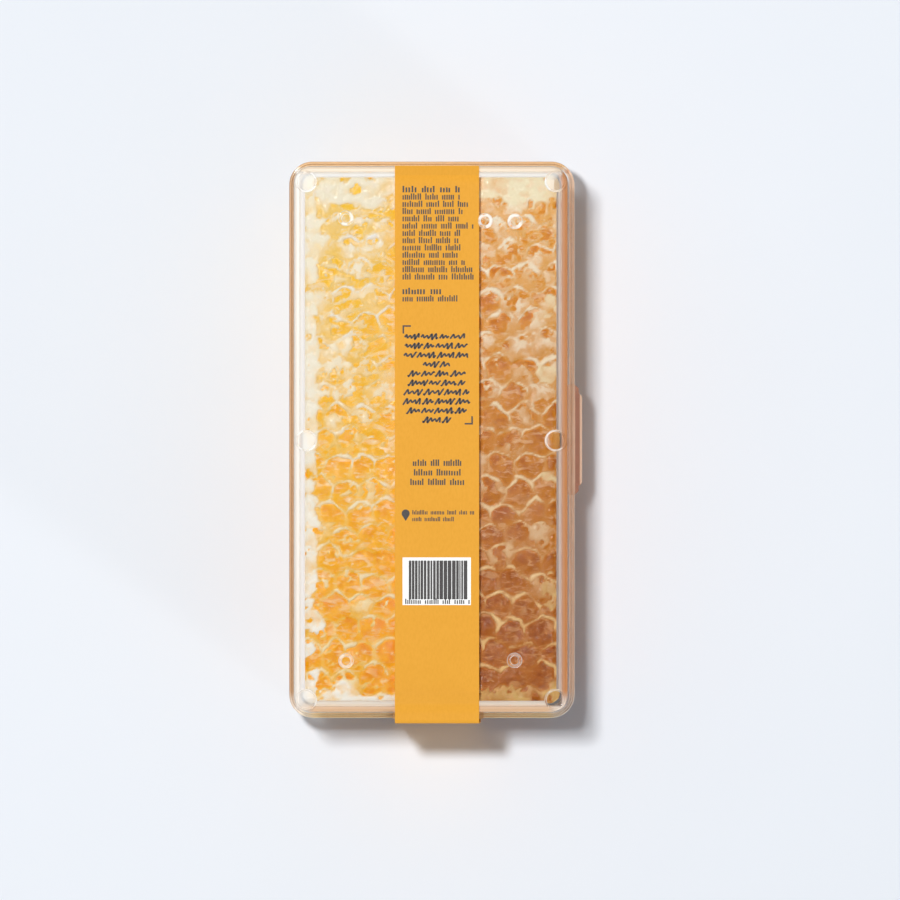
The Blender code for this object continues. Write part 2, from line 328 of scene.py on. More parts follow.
def honey_material():
    """Honey that stands in the open cells: wet, darker where it is deep and with painted shade under the
    far wall of each cell, with pale specks that are partly torn wax afloat in it and partly painted glints.
    """
    s = Shader("comb_honey")
    tone = by_place(s)
    # depth holds the honey's depth together with painted shade under the far wall of each cell
    depth = s.attribute("depth_and_shade")
    blotch = s.times(s.minus(s.noise(1.6 * MM, 4.0, distortion=0.5), 0.5), 1.5)
    color = s.mix(s.ramp(s.plus(depth, blotch), 0.1, 0.85), tone(*SHALLOW), tone(*DEEP))
    color = s.mix(s.ramp(depth, 0.22, 0.0), color, tone(*WATERLINE))
    # Pale specks in the honey: partly torn wax, partly painted glints
    for size, low, share in ((1.9 * MM, 0.53, 0.5), (0.9 * MM, 0.56, 0.6)):
        specks_and_glints = s.ramp(s.noise(size, 3.0, stretch=(0.55, 1.2, 1.0), distortion=0.7), low, low + 0.15)
        color = s.mix(s.times(specks_and_glints, share), color, tone(*FLECK_AND_GLINT))
    height = s.plus(s.noise(1.5 * MM, 3.0), s.times(s.noise(0.6 * MM, 2.0), 0.35))
    shader = glow(
        s, color, 0.2,
        Roughness=0.35,
        Coat_Weight=0.16,
        Coat_Roughness=0.07,
        Coat_Normal=s.bump(s.noise(0.9 * MM, 3.0), 0.2 * MM, 1.0),
        Normal=s.bump(height, 0.12 * MM, 0.8),
    )
    return s.finish(shader.outputs[0])


def plastic_material():
    """Clear moulded plastic with a lit haze on what is raised and round the rim, whose colours paint
    highlights, light and shade. Soft light passes on to the comb.
    """
    s = Shader("clear_plastic")
    x, y, z = s.axes()
    inset_x = s.minus(WIDTH / 2, s.math("ABSOLUTE", x))
    inset_y = s.minus(LENGTH / 2, s.math("ABSOLUTE", y))
    inset = s.math("MINIMUM", inset_x, inset_y)
    above = s.most(s.minus(z, TRAY_FLAT), s.minus(LID_FLAT, z))
    level = s.math("ABSOLUTE", s.axes(s.add("ShaderNodeTexCoord").outputs["Normal"])[2])
    in_wall = s.ramp(inset, 2.6 * MM, 2.1 * MM)
    in_rim = s.ramp(inset, 1.3 * MM, 0.9 * MM)
    lip = s.ramp(above, PAD_HEIGHT - 0.2 * MM, PAD_HEIGHT - 0.1 * MM)
    side = by_side(s, inset_x, inset_y)

    # What stands proud of the flat sides gets the haze, as painted highlights: ridge, rings, and the pads'
    # dishes and lips. The rings and lips are painted as broken arcs that fade away from the far left, and
    # the dishes whiter at the far end and the left, as painted light
    flank = s.ramp(level, 0.985, 0.75)
    up_to_ridge = s.ramp(above, RIDGE_HEIGHT + 0.1 * MM, RIDGE_HEIGHT)
    bead = s.times(s.ramp(inset, 3.7 * MM, 3.3 * MM), up_to_ridge)
    broken = s.ramp(s.noise(2.1 * MM, 1.0), 0.40, 0.56)
    fading = s.ramp(s.minus(y, x), -95 * MM, 20 * MM, smooth=False)
    ring = s.times(s.times(s.ramp(inset, 4.0 * MM, 6.0 * MM), broken), s.times(fading, 0.8))
    whiter = s.most(s.ramp(y, 30 * MM, 46 * MM), s.ramp(x, -8 * MM, -20 * MM))
    dish = s.times(s.ramp(above, RIDGE_HEIGHT + 0.1 * MM, RIDGE_HEIGHT + 0.2 * MM), whiter)
    arcs = s.times(s.times(lip, broken), fading)
    raised = s.most(s.times(flank, 0.6), s.times(bead, 0.68), ring, s.times(dish, 0.42), arcs)
    raised = s.times(s.ramp(above, 0.0, 0.1 * MM), raised)

    # The rim and its shoulder get the haze too, and upright walls stay clear. It is strongest at the near
    # end, as painted light on the rim where it lies in shade
    rim = s.times(in_wall, s.ramp(level, -0.05, 0.6))
    rim = s.times(rim, s.plus(0.72, s.times(s.ramp(y, -52.2 * MM, -53.0 * MM), 0.24)))

    # The haze's colour for each side of the box, with painted light and shade, and a painted white
    # highlight on the rings and the pads
    outside = s.ramp(inset, RIDGE_INSET + 0.2 * MM, RIDGE_INSET - 0.1 * MM)
    color = s.mix(outside, side(*BEAD_INSIDE), side(*BEAD_OUTSIDE))
    color = s.mix(s.most(s.ramp(inset, 3.7 * MM, 4.0 * MM), lip), color, srgb(*HIGHLIGHT_WHITE))
    walls = s.mix(in_rim, side(*SHOULDER_HAZE_AND_SHADE), side(*RIM_HAZE_AND_SHADE))
    near_corner = s.ramp(s.most(inset_x, inset_y), 5.5 * MM, 3.0 * MM)
    near_corner = s.times(near_corner, s.ramp(y, 0.0, -30 * MM))
    walls = s.mix(s.times(near_corner, 0.7), walls, srgb(*CORNER_HAZE))
    past_rim = s.ramp(inset_x, 0.0, -0.2 * MM)
    short_of_tip = s.ramp(inset_x, 0.35 * MM - TAB_REACH, 0.5 * MM - TAB_REACH)
    walls = s.mix(s.times(past_rim, short_of_tip), walls, srgb(*TAB_HAZE))
    color = s.mix(in_wall, color, walls)

    # Round the rim the glass takes the side colours, as painted shade
    glass = s.principled(
        Base_Color=s.mix(in_rim, (0.99, 0.985, 0.975), side(*WALL_TINT_AND_SHADE)),
        Transmission_Weight=1.0,
        Roughness=0.03,
        IOR=1.45,
        Normal=s.bump(s.noise(9 * MM, 2.0), 0.1 * MM, 0.2),
    )
    haze_and_highlight = s.principled(Base_Color=color, Roughness=0.4)
    surface = s.blend(s.most(raised, rim), glass.outputs[0], haze_and_highlight.outputs[0])
    shade = s.mix(in_wall, (0.93, 0.93, 0.93), (0.62, 0.62, 0.62))
    surface = s.clear_to("Is Shadow Ray", surface, shade)
    surface = s.clear_to("Is Diffuse Ray", surface, (1.0, 1.0, 1.0))
    return s.finish(surface)


def paper_material():
    """Smooth orange paper with a faint fibre. It is thin, so its shadow lets some of the light through."""
    s = Shader("label_paper")
    fibre = s.noise(0.35 * MM, 5.0, stretch=(1.0, 0.4, 1.0))
    shade = s.mix(s.noise(6 * MM, 2.0), srgb(229, 162, 50), srgb(233, 166, 56))
    color = s.mix(s.ramp(fibre, 0.35, 0.75), shade, srgb(227, 160, 49))
    shader = s.principled(
        Base_Color=color,
        Roughness=0.62,
        Specular_IOR_Level=0.15,
        Normal=s.bump(fibre, 0.03 * MM, 0.5),
    )
    return s.finish(s.clear_to("Is Shadow Ray", shader.outputs[0], (0.46, 0.43, 0.38)))


def ink_material(name, color):
    """Printing ink, a little worn."""
    s = Shader(name)
    worn = s.mix(s.ramp(s.noise(0.3 * MM, 4.0), 0.3, 0.8), srgb(*color), srgb(*[c + 14 for c in color]))
    shader = s.principled(Base_Color=worn, Roughness=0.5, Specular_IOR_Level=0.3)
    return s.finish(shader.outputs[0])


def floor_material():
    """Plain pale floor."""
    s = Shader("studio_floor")
    color = s.mix(s.noise(60 * MM, 2.0), srgb(230, 234, 240), srgb(233, 237, 243))
    shader = s.principled(Base_Color=color, Roughness=0.75)
    return s.finish(shader.outputs[0])


# ------------------------------------ meshes

def new_object(name, data):
    """A new object in the scene."""
    made = bpy.data.objects.new(name, data)
    bpy.context.scene.collection.objects.link(made)
    return made


def piece(name, points, faces, material, slot_name, values=None, smooth=False):
    """A mesh object with a number per point for each entry of values. With a slot it rides on the pack."""
    mesh = bpy.data.meshes.new(name)
    mesh.from_pydata(points, [], faces)
    mesh.validate()
    for key, numbers in (values or {}).items():
        layer = mesh.attributes.new(key, "FLOAT", "POINT")
        layer.data.foreach_set("value", np.asarray(numbers, np.float32))
    mesh.materials.append(material)
    if smooth:
        mesh.shade_smooth()
    made = new_object(name, mesh)
    if slot_name:
        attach(made, BODY)
    return made


# ------------------------------------ comb

class Field:
    """Smooth random numbers over the plane, the same on every run."""

    def __init__(self, seed):
        self.table = np.random.default_rng(seed).uniform(-1.0, 1.0, (64, 64))

    def at(self, x, y, size):
        """Between -1 and 1, with features about size across."""
        u, v = x / size + 1000.0, y / size + 1000.0
        i, j = np.floor(u).astype(int), np.floor(v).astype(int)
        a, b = u - i, v - j
        a, b = a * a * (3 - 2 * a), b * b * (3 - 2 * b)
        t = self.table
        low = t[i % 64, j % 64] * (1 - a) + t[(i + 1) % 64, j % 64] * a
        high = t[i % 64, (j + 1) % 64] * (1 - a) + t[(i + 1) % 64, (j + 1) % 64] * a
        return low * (1 - b) + high * b

    def rough(self, x, y, size):
        """The same with two finer layers on top."""
        fine = self.at(y + 0.011, x, size / 2.1)
        finest = self.at(x, y + 0.007, size / 4.3)
        return (self.at(x, y, size) + 0.5 * fine + 0.25 * finest) / 1.75


def step(low, high, value):
    """A soft step from 0 at low to 1 at high."""
    t = np.clip((value - low) / (high - low), 0.0, 1.0)
    return t * t * (3 - 2 * t)


class CellPattern:
    """Which cell a point of the comb's face lies in, and how that cell is finished."""

    def __init__(self, seed):
        self.chance = np.random.default_rng(seed)
        self.warp_x, self.warp_y = Field(seed + 1), Field(seed + 2)
        self.detail = Field(seed + 3)
        self.patch = Field(seed + 4)
        self.rows, self.columns = 16, 9
        shape = (2 * self.rows + 1, 2 * self.columns + 1)
        self.jitter = self.chance.uniform(-0.75 * MM, 0.75 * MM, (*shape, 2))
        self.own = self.chance.uniform(0.0, 1.0, (*shape, 4))

    def centre(self, row, column):
        """A cell's middle, and its own four random numbers."""
        row_at = np.clip(row + self.rows, 0, 2 * self.rows)
        column_at = np.clip(column + self.columns, 0, 2 * self.columns)
        x = column * CELL + np.where(row % 2 == 1, CELL / 2, 0.0) + self.jitter[row_at, column_at, 0]
        y = row * ROW + self.jitter[row_at, column_at, 1]
        return x, y, self.own[row_at, column_at]

    def at(self, x, y):
        """Where each point lies in its cell.

        This gives the gap to the nearest wall's middle, how near a corner of walls is, how far that wall
        runs across (1) or along the box (0), the place in the cell from -1 to 1 across and up, and the
        cell's own numbers.
        """
        x = x + 0.9 * MM * self.warp_x.at(x, y, 13 * MM) + 0.75 * MM * self.warp_x.rough(x, y, 3.1 * MM)
        y = y + 0.9 * MM * self.warp_y.at(x, y, 12 * MM) + 0.75 * MM * self.warp_y.rough(x, y, 2.9 * MM)
        row0 = np.round(y / ROW).astype(int)
        best = [np.ones(x.shape) for _ in range(3)]
        first = [np.zeros(x.shape) for _ in range(2)]
        second = [np.zeros(x.shape) for _ in range(2)]
        own = np.zeros((*x.shape, 4))
        for row_step in (-1, 0, 1):
            row = row0 + row_step
            column0 = np.round((x - np.where(row % 2 == 1, CELL / 2, 0.0)) / CELL).astype(int)
            for column_step in (-1, 0, 1):
                cx, cy, numbers = self.centre(row, column0 + column_step)
                d = np.hypot(x - cx, y - cy)
                d = d * (1 + ARCH * (y - cy) / np.maximum(d, 0.1 * MM))
                closest = d < best[0]
                middle = ~closest & (d < best[1])
                last = ~closest & ~middle & (d < best[2])
                best[2] = np.where(closest | middle, best[1], np.where(last, d, best[2]))
                best[1] = np.where(closest, best[0], np.where(middle, d, best[1]))
                best[0] = np.where(closest, d, best[0])
                for k, c in enumerate((cx, cy)):
                    second[k] = np.where(closest, first[k], np.where(middle, c, second[k]))
                    first[k] = np.where(closest, c, first[k])
                own = np.where(closest[..., None], numbers, own)
        apart = np.hypot(second[0] - first[0], second[1] - first[1])
        gap = (best[1] ** 2 - best[0] ** 2) / (2 * np.maximum(apart, MM))
        corner = np.exp(-(best[2] - best[0]) / (0.7 * MM))
        steep = np.abs(second[1] - first[1]) / np.maximum(apart, MM)
        across, up = (x - first[0]) / (CELL / 2), (y - first[1]) / (CELL / 2)
        return gap, corner, steep, across, up, own


# Pale wax that was crushed flat against the plastic, in millimetres: (x, y, reach across, reach along)
PRESSED_PATCHES = [
    (23.0, 26.0, 2.4, 3.4),
    (21.5, 13.0, 2.6, 2.2),
    (22.5, -7.5, 2.6, 2.6),
    (22.8, -30.0, 1.8, 3.6),
    (-23.5, -6.0, 2.0, 3.5),
    (-24.0, -15.5, 2.4, 3.0),
    (-23.6, -24.0, 2.8, 2.6),
    (-22.6, -36.5, 3.0, 3.0),
    (-24.0, 17.0, 1.8, 7.0),
    (-23.4, 38.0, 3.4, 6.0),
]


def pressed(x, y, rough):
    """How far a point belongs to wax crushed flat: along the ends, the left edge, and in patches."""
    wobble = rough.rough(x, y, 4 * MM) * 3.0 * MM
    amount = step(43.8 * MM, 46.2 * MM, y + wobble)
    amount = np.maximum(amount, step(-47.4 * MM, -49.0 * MM, y + wobble * 1.6))
    amount = np.maximum(amount, step(-21.0 * MM, -22.7 * MM, x + wobble * 0.6))
    for cx, cy, reach_x, reach_y in PRESSED_PATCHES:
        away = np.hypot((x / MM - cx) / reach_x, (y / MM - cy) / reach_y) - wobble / (2.6 * MM)
        amount = np.maximum(amount, step(1.1, 0.6, away))
    return amount * step(0.42, 0.28, rough.rough(x + 0.06, y, 2.4 * MM))


def comb_face(x, y, seed):
    """Heights of wax and honey from the face's plane, and the masks that colour them."""
    cells = CellPattern(seed)
    gap, corner, steep, across, up, own = cells.at(x, y)
    detail, patch = cells.detail, cells.patch
    press = pressed(x, y, patch)
    far = np.interp(y, [-8 * MM, 24 * MM], [0.0, 1.0])
    floor = -CELL_DEPTH

    # Walls: soft uneven ridges, lower where they run along Y, and lost here and there
    width = (0.72 + 0.30 * corner + 0.28 * detail.at(x, y, 2.2 * MM)) * MM
    crest = np.exp(-((gap / width) ** 2))
    sunk = (1 - steep) * step(0.5, -0.6, up)
    lost = step(0.15, 0.65, patch.rough(x + 0.05, y, 6 * MM))
    uneven = 0.26 * detail.at(x, y, 3.3 * MM) + 0.16 * detail.at(x, y, 1.3 * MM)
    wall_top = (-0.12 + uneven - 0.32 * sunk - 0.35 * lost) * MM
    wax = floor + crest * (wall_top - floor)

    # Strings and wrinkles of torn wax that cross the cells
    kinds = ((0.02, 6.0, 0.5, 0.20), (0.07, 3.0, 0.9, 0.24), (0.11, 2.0, 0.7, 0.27))
    for shift, size, slant, depth in kinds:
        vein = np.abs(patch.rough(x + shift, 1.8 * y - slant * x, size * MM)) / 0.10
        torn = step(-0.15, 0.35, patch.at(x + shift + 0.03, y, 6 * MM)) * (0.55 + 0.45 * far)
        wax = np.maximum(wax, floor + np.exp(-(vein**2)) * torn * (-depth * MM - floor))

    # Caps: most cells at the far end have one, which covers the cell from its near side
    places = [-46 * MM, -30 * MM, -6 * MM, 16 * MM, 40 * MM]
    chance_of_cap = np.interp(y, places, [0.05, 0.07, 0.20, 0.75, 0.8])
    has_cap = own[..., 0] < chance_of_cap
    reach = 0.15 + 0.9 * own[..., 1] + 0.8 * detail.rough(x, y, 1.6 * MM)
    holes = patch.rough(x + 0.03, y, 2.3 * MM)
    cap = has_cap * step(reach + 0.2, reach - 0.2, up) * step(0.24, 0.04, holes)
    dome = 0.16 * (1 - 0.6 * (across**2 + up**2)) + 0.16 * detail.rough(x, y, 1.7 * MM)
    cap_top = (-0.28 + dome + 0.14 * (own[..., 2] - 0.5)) * MM
    wax = np.maximum(wax, floor + cap * (cap_top - floor))

    # Crushed patches, flat against the plastic
    flat = (-0.08 + 0.16 * detail.rough(x, y, 2.2 * MM)) * MM
    wax = np.maximum(wax, floor + press * (flat - floor))
    wax = np.minimum(wax, 0.1 * MM)

    # Flakes of wax that lie in the honey, most of them at the far left
    many = np.clip(0.25 + 0.5 * far - x / (90 * MM), 0.0, 0.8)
    for shift, size in ((0.04, 3.0), (0.09, 1.8)):
        scatter = patch.rough(x - shift, 1.5 * y - 0.4 * x, size * MM)
        flakes = step(0.50 - 0.45 * many, 0.75 - 0.45 * many, scatter)
        wax = np.maximum(wax, floor + flakes * (-0.22 * MM - floor))

    # Honey: lower under the far wall of its cell, level with the walls at the near side
    fall = step(-0.6, 0.95, up) * (0.4 + 0.6 * own[..., 3])
    honey = (-0.28 - 0.22 * fall + 0.08 * detail.rough(x, y, 2.8 * MM)) * MM
    room = np.clip((honey - wax) / (0.9 * MM), 0.0, 1.0)
    # The colour mask: thicker honey is darker, and through fall it paints shade under the far wall of each
    # cell
    depth_and_shade = 0.35 * room + 0.65 * fall * step(0.0, 0.45, room)
    rise = np.clip((wax - honey) / (0.26 * MM), 0.0, 1.0)
    masks = {"cap": np.clip(cap, 0, 1), "press": press, "rise": rise, "side": np.zeros_like(x)}
    return wax, honey, masks, np.clip(depth_and_shade, 0.0, 1.0)


def rounded(u, v, half_x, half_y, radius):
    """Maps a rectangle's points so that its corners become round."""
    reach_x, reach_y = half_x - radius, half_y - radius
    a = np.clip((np.abs(u) - reach_x) / radius, 0.0, 1.0)
    b = np.clip((np.abs(v) - reach_y) / radius, 0.0, 1.0)
    x = np.where(a > 0, reach_x + radius * a * np.sqrt(1 - b * b / 2), np.abs(u))
    y = np.where(b > 0, reach_y + radius * b * np.sqrt(1 - a * a / 2), np.abs(v))
    return np.copysign(x, u), np.copysign(y, v)


def face_grid(half_x, half_y, grid):
    """Points over a face with round corners, row by row, and how far in from its edge each one is."""
    rows, columns = grid
    down, along = np.linspace(-half_y, half_y, rows), np.linspace(-half_x, half_x, columns)
    v, u = np.meshgrid(down, along, indexing="ij")
    x, y = rounded(u, v, half_x, half_y, COMB_CORNER)
    return x, y, np.minimum(half_x - np.abs(u), half_y - np.abs(v))


def grid_faces(rows, columns):
    """Quads of a grid whose points run along the columns first."""
    corner = (np.arange(rows - 1)[:, None] * columns + np.arange(columns - 1)[None, :]).ravel()
    return [tuple(f) for f in np.stack([corner, corner + 1, corner + columns + 1, corner + columns], 1)]


def wall_faces(rings):
    """Quads from each ring of point numbers down to the next, and a face that closes the last."""
    faces = []
    for upper, lower in zip(rings, rings[1:]):
        after, lower_after = np.roll(upper, -1), np.roll(lower, -1)
        faces += [tuple(f) for f in np.stack([upper, lower, lower_after, after], 1)]
    return faces + [tuple(rings[-1][::-1])]


def border_of(rows, columns):
    """The grid's outer points, anticlockwise from the first."""
    index = np.arange(rows * columns).reshape(rows, columns)
    return np.concatenate([index[0, :-1], index[:-1, -1], index[-1, :0:-1], index[:0:-1, 0]])


def comb_half(name, seed, flip, material):
    """One half of the comb, from its face to the midrib, closed, with honey on its cut sides."""
    half_x, half_y = COMB_HIGH.x + 0.05 * MM, COMB_HIGH.y + 0.05 * MM
    x, y, edge = face_grid(half_x, half_y, WAX_GRID)
    wax, _, masks, _ = comb_face(x, y, seed)
    wax = np.maximum(wax, -2.0 * MM) - 0.5 * MM * step(0.9 * MM, 0.0, edge)
    top = np.stack([x.ravel(), y.ravel(), FACE + wax.ravel()], 1)
    border = border_of(*WAX_GRID)
    side_points, side_honey = cut_sides(top[border], seed)

    count = len(border)
    rings = [border] + [len(top) + k * count + np.arange(count) for k in range(SIDE_LEVELS)]
    faces = grid_faces(*WAX_GRID) + wall_faces(rings)
    values = {key: np.concatenate([m.ravel(), np.zeros(SIDE_LEVELS * count)]) for key, m in masks.items()}
    values["honey"] = np.concatenate([np.zeros(len(top)), *side_honey])
    values["side"][len(top):] = 1.0
    points, faces = turned(np.concatenate([top, *side_points]), faces, flip)
    return piece(name, points, faces, material, "honeycomb", values, smooth=True)


def cut_sides(edge, seed):
    """Rings of points from the face's edge to the midrib, and the honey that shows at each point.

    The cells are cut open lengthwise: tall, between thin walls, down to a midrib that zigzags.
    """
    x, y, edge_z = edge.T
    along = np.concatenate([[0.0], np.cumsum(np.hypot(np.diff(x), np.diff(y)))])
    out = np.stack([np.roll(y, -1) - np.roll(y, 1), np.roll(x, 1) - np.roll(x, -1)], 1)
    out /= np.maximum(np.linalg.norm(out, axis=1), 1e-9)[:, None]
    rough = Field(seed + 20)
    points, honeys = [], []
    for level in range(1, SIDE_LEVELS + 1):
        share = level / SIDE_LEVELS
        z = np.maximum(edge_z * (1 - share) + MIDRIB * share, MIDRIB)
        drift = 0.9 * MM * rough.at(along, z, 7 * MM) + 0.35 * MM * rough.at(along, z, 2.5 * MM)
        place = (along + drift + 0.15 * (z - MIDRIB)) % CELL
        to_wall = np.minimum(place, CELL - place)
        zigzag = np.abs(place - CELL / 2) * 0.45
        to_rib = np.abs(z - MIDRIB - zigzag + 0.4 * MM)
        solid = np.maximum(step(0.5 * MM, 0.2 * MM, to_wall), step(0.45 * MM, 0.15 * MM, to_rib))
        smear = step(0.1, 0.6, rough.rough(along + 0.5, z, 9 * MM))
        honey = (1 - solid) * (1 - 0.75 * smear)
        inwards = (0.10 + 0.32 * honey + 0.10 * rough.rough(along, z, 2 * MM)) * MM
        inwards = inwards * math.sin(math.pi * min(1.0, share * 6) / 2)
        points.append(np.stack([x - out[:, 0] * inwards, y - out[:, 1] * inwards, z], 1))
        honeys.append(honey)
    return points, honeys


def turned(points, faces, flip):
    """For the lower face: mirrored through the middle plane, with its faces turned round to match."""
    if not flip:
        return points, faces
    points = points.copy()
    points[:, 2] = 2 * MIDRIB - points[:, 2]
    return points, [face[::-1] for face in faces]


def honey_layer(name, seed, flip, material):
    """The honey in one face's open cells: a thin closed body whose upper side is the honey's surface."""
    inset = 0.35 * MM
    x, y, edge = face_grid(COMB_HIGH.x - inset, COMB_HIGH.y - inset, HONEY_GRID)
    _, honey, _, depth_and_shade = comb_face(x, y, seed)
    honey = honey - 0.9 * MM * step(0.7 * MM, 0.0, edge)
    top = np.stack([x.ravel(), y.ravel(), FACE + honey.ravel()], 1)
    border = border_of(*HONEY_GRID)
    base = top[border].copy()
    base[:, 2] = FACE - HONEY_THICKNESS
    faces = grid_faces(*HONEY_GRID) + wall_faces([border, len(top) + np.arange(len(border))])
    values = {"depth_and_shade": np.concatenate([depth_and_shade.ravel(), np.ones(len(border))])}
    points, faces = turned(np.concatenate([top, base]), faces, flip)
    return piece(name, points, faces, material, "honeycomb", values, smooth=True)


def build_comb():
    wax, honey = wax_material(), honey_material()
    made = []
    for part, seed, flip in (("upper", 5, False), ("lower", 47, True)):
        made.append(comb_half("comb_wax_" + part, seed, flip, wax))
        made.append(honey_layer("comb_honey_" + part, seed, flip, honey))
    for item in made:
        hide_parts("honeycomb")


# ------------------------------------ box

CORNER_STEPS = 14
EDGE_STEPS = 4


def box_loop(inset, z):
    """A rounded rectangle of points, inset from the rim's outer line."""
    radius = max(CORNER_RADIUS - inset, 0.8 * MM)
    reach_x, reach_y = WIDTH / 2 - inset - radius, LENGTH / 2 - inset - radius
    loop = []
    for corner, (side_x, side_y) in enumerate(((1, 1), (-1, 1), (-1, -1), (1, -1))):
        for k in range(CORNER_STEPS + 1):
            angle = (corner + k / CORNER_STEPS) * math.pi / 2
            x = side_x * reach_x + radius * math.cos(angle)
            loop.append((x, side_y * reach_y + radius * math.sin(angle), z))
    return loop


def round_loop(centre, radius, z, steps):
    """A circle of points."""
    turns = [2 * math.pi * k / steps for k in range(steps)]
    return [(centre[0] + radius * math.cos(a), centre[1] + radius * math.sin(a), z) for a in turns]


def skin(bm, loops, ring=False):
    """Faces from each loop of points to the next, capped at the ends or closed into a ring."""
    rows = [[bm.verts.new(point) for point in loop] for loop in loops]
    pairs = list(zip(rows, rows[1:]))
    if ring:
        pairs.append((rows[-1], rows[0]))
    else:
        bm.faces.new(rows[0])
        bm.faces.new(rows[-1])
    for first, second in pairs:
        for i, here in enumerate(first):
            after = (i + 1) % len(first)
            bm.faces.new((here, first[after], second[after], second[i]))
    return rows


def arc(centre, radius, start, end, steps):
    """Points (across, up) on an arc, angles in degrees."""
    angles = [math.radians(start + (end - start) * k / steps) for k in range(steps + 1)]
    return [(centre[0] + radius * math.cos(a), centre[1] + radius * math.sin(a)) for a in angles]


def shell_profile(flat, has_tongue):
    """(inset, height from the parting plane) round the wall, from the flat side's edge to its inside."""
    edge = arc((0, flat - EDGE_RADIUS), EDGE_RADIUS, 90, 0, EDGE_STEPS)
    points = [(DRAFT + EDGE_RADIUS - a, h) for a, h in edge]
    points += [(RIM_REACH + 0.15 * MM, RIM_HEIGHT + 0.25 * MM), (RIM_REACH, RIM_HEIGHT)]
    points += [(0.2 * MM - a, h) for a, h in arc((0, RIM_HEIGHT - 0.2 * MM), 0.2 * MM, 90, 0, 3)]
    points.append((0.0, CLEARANCE / 2))
    inside = 2 * RIM_WALL + CLEARANCE
    if has_tongue:
        outside = RIM_WALL + CLEARANCE
        points += [(outside, CLEARANCE / 2), (outside, -TONGUE), (inside, -TONGUE)]
    else:
        recess = TONGUE + CLEARANCE
        points += [(RIM_WALL, CLEARANCE / 2), (RIM_WALL, recess), (inside, recess)]
    points.append((DRAFT + PLASTIC, flat - PLASTIC))
    return points


def bead_profile(half, height):
    """(across, up) over a bead with a round top, from and to its root in the wall."""
    radius = min(half, height) * 0.8
    left = arc((-half + radius, height - radius), radius, 180, 90, 4)
    right = arc((half - radius, height - radius), radius, 90, 0, 4)
    return [(-half, -ROOT), *left, *right, (half, -ROOT)]


def add_tab(bm, length, reach, up, turn, rim, shift=0.0):
    """A plate on the rim with sloping, rounded shoulders. It reaches along +X before the turn."""
    inner, outer, half = rim - ROOT - RIM_WALL / 2, rim + reach, length / 2
    outline = [(inner, -half), (rim, -half), (outer, reach - half)]
    outline += [(x, -y) for x, y in reversed(outline)]
    cosine, sine = round(math.cos(turn)), round(math.sin(turn))
    loops = []
    for h in (CLEARANCE / 2, TAB_HEIGHT):
        placed = [(x, y + shift) for x, y in outline]
        loops.append([(cosine * x - sine * y, sine * x + cosine * y, up * h) for x, y in placed])
    rows = skin(bm, loops)
    corners = [bm.edges.get((rows[0][i], rows[1][i])) for i in (2, 3)]
    bmesh.ops.bevel(bm, geom=corners, offset=min(TAB_ROUND, reach), segments=6, affect="EDGES")


def guide(name, bm):
    """A mesh for a Boolean, which is deleted afterwards."""
    bmesh.ops.recalc_face_normals(bm, faces=bm.faces[:])
    mesh = bpy.data.meshes.new(name)
    bm.to_mesh(mesh)
    bm.free()
    return new_object(name, mesh)


def shell_relief(flat, up):
    """Guides for what stands on a shell: ridge, rings and tabs in one, and the pads in another."""
    relief, pads = bmesh.new(), bmesh.new()
    ridge = bead_profile(RIDGE_WIDTH / 2, RIDGE_HEIGHT)
    skin(relief, [box_loop(RIDGE_INSET + a, up * (flat + h)) for a, h in ridge], ring=True)
    ring = bead_profile(RING_WIDTH / 2, RING_HEIGHT)
    for centre in RING_PLACES:
        radius = RING_RADIUS - RING_WIDTH / 2
        skin(relief, [round_loop(centre, radius + a, up * (flat + h), 36) for a, h in ring], ring=True)
    add_tab(relief, TAB_LENGTH, TAB_REACH, up, 0.0, WIDTH / 2)
    add_tab(relief, LUG_LENGTH, LUG_REACH, up, -math.pi / 2, LENGTH / 2, LUG_CENTRE)
    x, y = WIDTH / 2 - PAD_INSET_X, LENGTH / 2 - PAD_INSET_Y
    lip = PAD_LIP / 2
    profile = [(PAD_RADIUS, -ROOT)]
    profile += arc((PAD_RADIUS - lip, PAD_HEIGHT - lip), lip, 0, 180, 8)
    profile += [(PAD_RADIUS - PAD_LIP, PAD_HEIGHT - PAD_DISH)]
    for side_x in (-1, 1):
        for side_y in (-1, 0, 1):
            centre = (side_x * x, side_y * y - PAD_SHIFT)
            skin(pads, [round_loop(centre, a, up * (flat + h), 48) for a, h in profile])
    return guide("relief", relief), guide("pads", pads)


def half_box(name, node, flat, up, has_tongue, material):
    """The tray, with up 1, or the lid, with up -1. Its flat side is flat metres from the parting plane."""
    bm = bmesh.new()
    skin(bm, [box_loop(inset, up * h) for inset, h in shell_profile(flat, has_tongue)])
    body = guide(name, bm)
    added = shell_relief(flat, up)
    for item in added:
        union = body.modifiers.new(item.name, "BOOLEAN")
        union.operation, union.solver, union.object = "UNION", "EXACT", item
    graph = bpy.context.evaluated_depsgraph_get()
    mesh = bpy.data.meshes.new_from_object(body.evaluated_get(graph))
    for item in (body, *added):
        bpy.data.objects.remove(item, do_unlink=True)
    mesh.transform(Matrix.Translation((0.0, 0.0, PARTING)))
    mesh.shade_smooth()
    mesh.set_sharp_from_angle(angle=math.radians(32))
    mesh.materials.clear()
    mesh.materials.append(material)
    made = new_object(name, mesh)
    weighted = made.modifiers.new("even normals", "WEIGHTED_NORMAL")
    weighted.keep_sharp = True
    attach(made, BODY)
    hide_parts(node)


def build_box():
    plastic = plastic_material()
    half_box("clear_tray", "box_tray", TRAY_FLAT - PARTING, 1, False, plastic)
    half_box("clear_lid", "box_lid", PARTING - LID_FLAT, -1, True, plastic)


# ------------------------------------ label

LABEL_THICKNESS = 0.22 * MM
LABEL_FOLD = 0.6 * MM
LABEL_WIDTH = LABEL_HIGH.x - LABEL_LOW.x
INK_THICKNESS = 0.02 * MM


